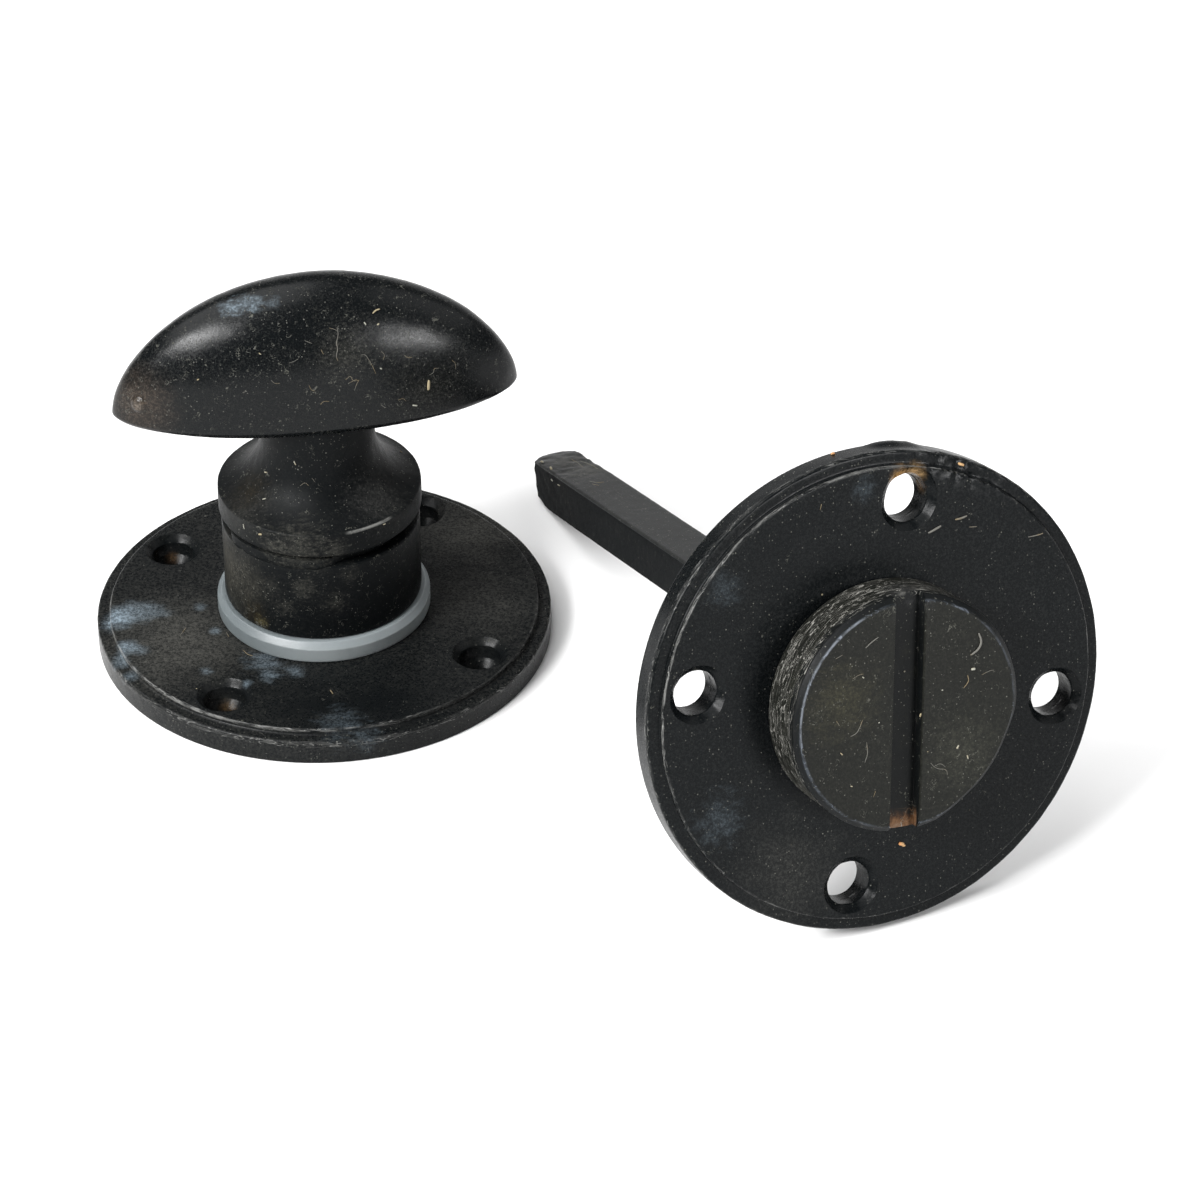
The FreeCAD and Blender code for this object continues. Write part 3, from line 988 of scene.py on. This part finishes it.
on_boss = [(in_slot(2 * boss_r - 1), 3.2, (0.05, 0.05, 0.054), 0.6, 0.3, 0.8)] + marks(release_boss,
    ((0.06, 0.055, 0.03), (842, 702, 5, 0.35, 0.5, 1)),
    ((0.06, 0.06, 0.045), (963, 751, 5, 0.3, 0.6, 0.6)),
)
slot_end = (in_slot(0) - in_slot(boss_r)).normalized()
copper_band = (boss_r, 2.2, slot_floor - 0.25, boss_high - 0.8)
bevel_low = boss_high - boss_bevel
boss_bands = [
    # Painted shade: black down in the slot.
    (0, 40, slot_floor - 0.1, boss_high - 0.35, BLACK, 0.85, 0),
    (*copper_band, COPPER, 1, 0.4, slot_end, 0.98),
    (*copper_band, (0.2, 0.13, 0.08), 0.35, 0.75, slot_end, 0.98),
    (boss_r, 0.6, boss_low + 0.2, bevel_low - 0.2, (0.24, 0.235, 0.215), 0.28, 0.9),
    (boss_r - 0.5, 0.6, bevel_low - 0.1, boss_high - 0.12, BLACK, 0.9, 0),
    # Painted highlight: a thin bluish pale line round the bevel's top edge, and a paler one at its upper
    # left.
    (boss_r - boss_bevel, 0.2, boss_high - 0.2, boss_high + 0.1, BLUE_EDGE_HIGHLIGHT, 0.3, 0.6),
    (boss_r - boss_bevel, 0.13, boss_high - 0.2, boss_high + 0.1, (0.22, 0.24, 0.27), 0.36, 0.4,
     0.6 * upward - 0.8 * across, 0.7),
]
paint(waxed_black("boss", RELEASE_AXIS, (0.033, 0.033, 0.027), on_boss, boss_bands, 1.2, 0.42, 0.018, 0.4,
                  0.9, 1.2, ground=(0.005, 0.0054, 0.0044)), release_boss, frame["nodes"]["release_spigot"])
on_spindle = marks(spindle,
    (BLACK, (590, 515, 4, 0.9, 0.4, 2)),
    (PALE_DUST,
     (588, 470, 3, 0.4, 0.8, 0.5), (565, 461, 2.5, 0.35, 0.8, 0.5), (565, 500, 1.8, 0.3, 0.8, 0.5)),
)
# The spindle's sides get painted shade and a painted shadow line.
paint(waxed_black("spindle", RELEASE_AXIS, (0.068, 0.068, 0.063), on_spindle, (), 1.3, 0.4, gloss=1.2,
                  change=painted_shade_sides), spindle)

# %% [markdown]
# Lint, crumbs and rust are dull, and each drifts slowly from one colour to another in space.

# %% Lint finish
def plain_crumb(name, *colours):
    material, shader, where = new_material(name)
    colour = blend(rise(cloud(where, 3), 0.42, 0.58), *colours)
    bumps = bumped(cloud(where, 0.1) * (0.01 * MM))
    feed(shader, {"Base Color": colour, "Normal": bumps, "Roughness": 0.85})
    return material


lint_finish = plain_crumb("lint", (0.1, 0.097, 0.085), (0.13, 0.1, 0.055))
crumb_finish = plain_crumb("crumbs", (0.24, 0.2, 0.12), (0.26, 0.26, 0.22))
rust_finish = plain_crumb("rust flakes", (0.36, 0.15, 0.05), (0.42, 0.26, 0.12))
print("three dull finishes")

# %% [markdown]
# The lint and crumbs that catch the eye are bent tubes that taper at both ends. Each is known by
# the pixels that it runs through. Its line is made smooth and laid on the mesh.

# %% Lint and crumbs
STRAND_SIDES = 6


def softened(points):
    """The same run with its corners cut off twice."""
    for _ in range(2):
        inner = [q for a, b in zip(points, points[1:]) for q in (a.lerp(b, 0.25), a.lerp(b, 0.75))]
        points = [points[0]] + inner + [points[-1]]
    return points


def add_strand(bm, piece, pixels, width):
    """One strand of the given width in millimetres on a finished piece."""
    line = softened([seen_on(piece, pixel) for pixel in pixels])
    last = len(line) - 1
    turns = [2 * pi * k / STRAND_SIDES for k in range(STRAND_SIDES)]
    rings = []
    for index, point in enumerate(line):
        _, place, normal, _ = piece.closest_point_on_mesh(point)
        along = line[min(index + 1, last)] - line[max(index - 1, 0)]
        side = normal.cross(along).normalized()
        swell = 0.4 * width * MM * (0.3 + 0.7 * sin(pi * index / last) ** 0.5)
        corners = [cos(a) * side + (0.7 + 0.8 * sin(a)) * normal for a in turns]
        rings.append([bm.verts.new(place + swell * corner) for corner in corners])
    join_rings(bm, rings)
    bm.faces.new(rings[0])
    bm.faces.new(rings[-1])


def strands(name, body, finish, groups, shift=(0, 0)):
    """One piece of many strands. A group is a piece and runs of width in mm, x, y, x, y and so on."""
    bm = bmesh.new()
    for piece, *runs in groups:
        for width, *places in runs:
            pixels = [(x + shift[0], y + shift[1]) for x, y in zip(places[::2], places[1::2])]
            add_strand(bm, piece, pixels, width)
    made = new_piece(name, bm)
    for polygon in made.data.polygons:
        polygon.use_smooth = True
    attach(made, body)
    paint(finish, made)
    print(sum(len(runs) for _, *runs in groups), "strands")


knob_shift = (9, 8)
release_shift = (-9.5, -9)
strands("lint_knob", "turn", lint_finish, [
    (turn_grip,
     (0.09, 328, 319, 329.5, 327, 327, 335, 329, 341, 327, 348, 329, 353),
     (0.06, 352, 347, 356, 346, 360, 352, 363.5, 358, 367, 366),
     (0.06, 336.5, 372, 341.5, 367, 344, 373.5, 350, 372), (0.06, 345.5, 382.5, 347.5, 376, 350, 372),
     (0.06, 340, 375, 348, 371), (0.07, 420, 367, 425, 364.5, 424.5, 360.5, 430, 360),
     (0.06, 320, 320, 325, 321, 328, 323), (0.06, 295.5, 332.5, 303, 335.5),
     (0.06, 312, 341.5, 314.5, 346.5), (0.05, 280, 355, 285, 353.5, 289.5, 350.5),
     (0.06, 311.5, 396.5, 314.5, 393, 320.5, 393.5), (0.05, 372, 343, 376, 347, 374, 352),
     (0.06, 395, 347, 399, 350, 403, 349), (0.05, 262, 372, 266, 376, 271, 375), (0.05, 233, 385, 238, 383),
     (0.05, 443, 352, 447, 356, 446, 361), (0.05, 389, 392, 394, 390, 397, 393),
     (0.05, 300, 377, 302, 382, 306, 383), (0.06, 372, 397, 377, 400)),
    (turn_neck, (0.06, 291, 478, 296, 474, 300, 478), (0.05, 303, 470, 306, 474)),
], knob_shift)
strands("crumbs_knob", "turn", crumb_finish, [
    (turn_grip,
     (0.2, 363.5, 305.5, 367, 302, 371, 301), (0.2, 368, 317, 370, 315.5), (0.4, 419.5, 372, 419, 382),
     (0.22, 403.5, 397, 408.5, 397.5), (0.18, 371, 360, 373, 361), (0.15, 355, 314, 357, 317),
     (0.15, 250, 345, 252, 346.5), (0.15, 188, 372, 190, 371)),
    (turn_neck,
     (0.18, 285, 453, 287, 457), (0.2, 255.5, 464, 258, 464.5), (0.18, 253.5, 491.5, 257, 490.5),
     (0.3, 250, 526, 253, 526), (0.14, 234.5, 516, 235.5, 521), (0.18, 374, 516.5, 376.5, 515.5),
     (0.12, 391, 443, 393, 444.5)),
    (turn_collar, (0.25, 262, 545, 262.5, 551), (0.2, 345, 542.5, 348.5, 542), (0.15, 309, 558, 311, 557.5)),
], knob_shift)
strands("lint_boss", "release", lint_finish, [
    (release_boss,
     (0.14, 875, 657, 881, 651, 888, 646), (0.1, 860, 745.5, 867, 742, 872, 729),
     (0.08, 876, 751, 877.5, 762, 874, 772), (0.3, 988, 642, 991, 650, 988, 658, 980, 664),
     (0.12, 977, 684, 978.5, 690, 973, 697), (0.07, 940, 772, 946, 778, 956, 778, 957, 784),
     (0.06, 944, 775, 950, 772, 955, 776), (0.06, 862, 688, 868, 684, 873, 683),
     (0.06, 991, 684, 998, 680, 1003, 679), (0.06, 845, 668, 852, 664), (0.06, 883, 806, 885, 800),
     (0.06, 846, 730, 849, 735)),
], release_shift)
strands("crumbs_boss", "release", crumb_finish, [
    (release_boss,
     (0.35, 980.5, 678, 984.5, 677.5), (0.25, 966, 757.5, 968, 754), (0.25, 930, 726, 931, 722.5),
     (0.2, 913, 680.5, 914.5, 680), (0.15, 888, 732, 889, 731), (0.15, 860, 795, 862, 795.5),
     (0.16, 976.5, 764, 977.5, 768), (0.15, 872, 686, 873.5, 687), (0.15, 850, 762, 852, 764),
     (0.15, 951, 699, 952.5, 699)),
], release_shift)
strands("lint_rose", "roses", lint_finish, [
    (release_rose,
     (0.3, 928, 533, 935, 529, 941, 525.5), (0.26, 955, 519.5, 961, 518, 967, 515.5),
     (0.14, 1028, 537, 1038, 535, 1046, 529), (0.08, 820, 510, 821.5, 504), (0.1, 969, 527, 977, 526.5),
     (0.08, 1012, 700, 1015, 705)),
    (turn_rose,
     (0.16, 330, 690, 333, 694), (0.1, 243, 650, 248, 655, 253, 656), (0.08, 226, 632, 229, 637),
     (0.1, 186, 628, 180, 636)),
])
strands("crumbs_spindle", "release", crumb_finish, [
    (spindle,
     (0.35, 541, 462, 543.5, 463), (0.35, 550.5, 467.5, 551.5, 470), (0.2, 551.5, 479, 553, 481),
     (0.2, 558, 484.5, 560, 485.5), (0.05, 589, 481, 597, 483, 604, 482),
     (0.05, 580, 461, 589, 464, 598, 469), (0.05, 592, 484, 599, 485.5),
     (0.05, 571, 459, 577, 462, 583, 467)),
])
strands("rust_rose", "roses", rust_finish, [
    (release_rose,
     (0.5, 898.5, 843, 903.5, 844), (0.3, 902, 845.5, 905, 845), (0.4, 831, 455, 835, 454),
     (0.35, 958, 463, 963, 465)),
])

# %% [markdown]
# Nylon lets a little light in, which keeps its shadows soft and grey. Handling has left a faint grey
# film and a few dark nicks.

# %% Nylon
nylon, shader, where = new_material("nylon")
stain = rise(cloud(where, 2.2, 4, 0.7), 0.45, 0.75)
split = node(where.tree, "ShaderNodeSeparateXYZ", {0: where})
bevelled = rise(Signal(split, 2), flange_top - 0.7, flange_top - 0.6)
# Painted shade: the bush is darker towards its left.
shaded_left = rise(Signal(split, 0), 2, -9, 0.9)
nick = grains(where, 3, 0.3, 0.12)
colour = blend(stain * 0.5, (0.215, 0.237, 0.242), (0.158, 0.177, 0.182))
colour = blend(bevelled * 0.6, colour, (0.19, 0.215, 0.225))
colour = blend(shaded_left, colour, (0.085, 0.1, 0.105))
colour = blend(nick, colour, (0.05, 0.05, 0.05))
feed(shader, {
    "Base Color": colour, "Normal": bumped(cloud(where, 0.6, 3) * (0.02 * MM)), "Roughness": 0.42,
    "Subsurface Weight": 0.25, "Subsurface Radius": (1, 1, 1), "Subsurface Scale": 0.8 * MM,
})
paint(nylon, turn_bush, frame["nodes"]["release_bush"])

# %% [markdown]
# The clips, washers, stud and cross pin are plain steel. Their tool marks run one way, and a little oil
# has darkened them.

# %% Plain steel
steel, shader, where = new_material("plain steel")
lines = cloud(where.arrow("MULTIPLY", (0.25, 1, 1)), 0.25, 3)
oil = rise(cloud(where, 2.5, 4), 0.4, 0.7)
feed(shader, {
    "Base Color": blend(oil * 0.7, (0.42, 0.42, 0.41), (0.2, 0.19, 0.17)), "Metallic": 1,
    "Coat Weight": rise(lines, 0.3, 0.7, 0.2), "Roughness": rise(oil, 0, 1, 0.2) + 0.3,
    "Normal": bumped(lines * (0.01 * MM)),
})
paint(steel, *[frame["nodes"][name] for name in (
    "turn_stud", "turn_back_washer", "turn_retaining_clip", "release_back_washer",
    "release_retaining_clip", "spindle_pin")])

# %% [markdown]
# The set stands on white paper, lit so strongly that only the soft shadows close to the steel show.
# Further out the paper ends in a grey table.

# %% Floor
floor_bm = bmesh.new()
bmesh.ops.create_grid(floor_bm, x_segments=1, y_segments=1, size=3)
floor = new_piece("floor", floor_bm)
floor.location.z = -0.00003
paper, shader, where = new_material("white paper")
greyed = rise(where.arrow("LENGTH", output="Value"), 280, 900)
feed(shader, {"Base Color": blend(greyed, (0.83, 0.83, 0.83), (0.5, 0.5, 0.5)), "Roughness": 0.9})
paint(paper, floor)

# %% [markdown]
# Two soft lamps in front leave the two pale glows on the grip. A weak one at the right and a low panel
# behind draw the edges there. A big one hangs overhead and to the left, so the shadows fall to the
# right. Black shows only what it reflects, so the sizes and places of the lamps matter most.

# %% Lights
def soft_lamp(name, azimuth, elevation, away, size, power):
    """A lamp that faces the set. Azimuth 0 is straight ahead of the camera, 90 to the right."""
    lamp_data = bpy.data.lights.new(name, "AREA")
    lamp_data.shape = "RECTANGLE"
    lamp_data.size, lamp_data.size_y = size
    lamp_data.energy = power
    turn, lift = radians(azimuth), radians(elevation)
    way = Vector((sin(turn) * cos(lift), cos(turn) * cos(lift), sin(lift)))
    lamp = bpy.data.objects.new(name, lamp_data)
    lamp.location = Vector((0.03, -0.01, 0.02)) + away * way
    lamp.rotation_euler = way.to_track_quat("Z", "Y").to_euler()
    bpy.context.scene.collection.objects.link(lamp)


soft_lamp("left front lamp", -132, 36, 1.1, (0.52, 0.24), 19)
soft_lamp("right front lamp", 135, 15, 1.1, (0.36, 0.12), 7.6)
soft_lamp("right side lamp", 84, 44, 1.1, (0.9, 0.9), 3)
soft_lamp("back panel", 5, 12, 1.3, (2, 0.6), 3)
soft_lamp("overhead lamp", -90, 63, 1.25, (1.4, 1.4), 21)
world = bpy.data.worlds.new("studio")
bpy.context.scene.world = world
world.use_nodes = True
feed(world.node_tree.nodes["Background"], {"Color": (1, 1, 1, 1), "Strength": 0.12})
bpy.context.scene.view_settings.view_transform = "Standard"
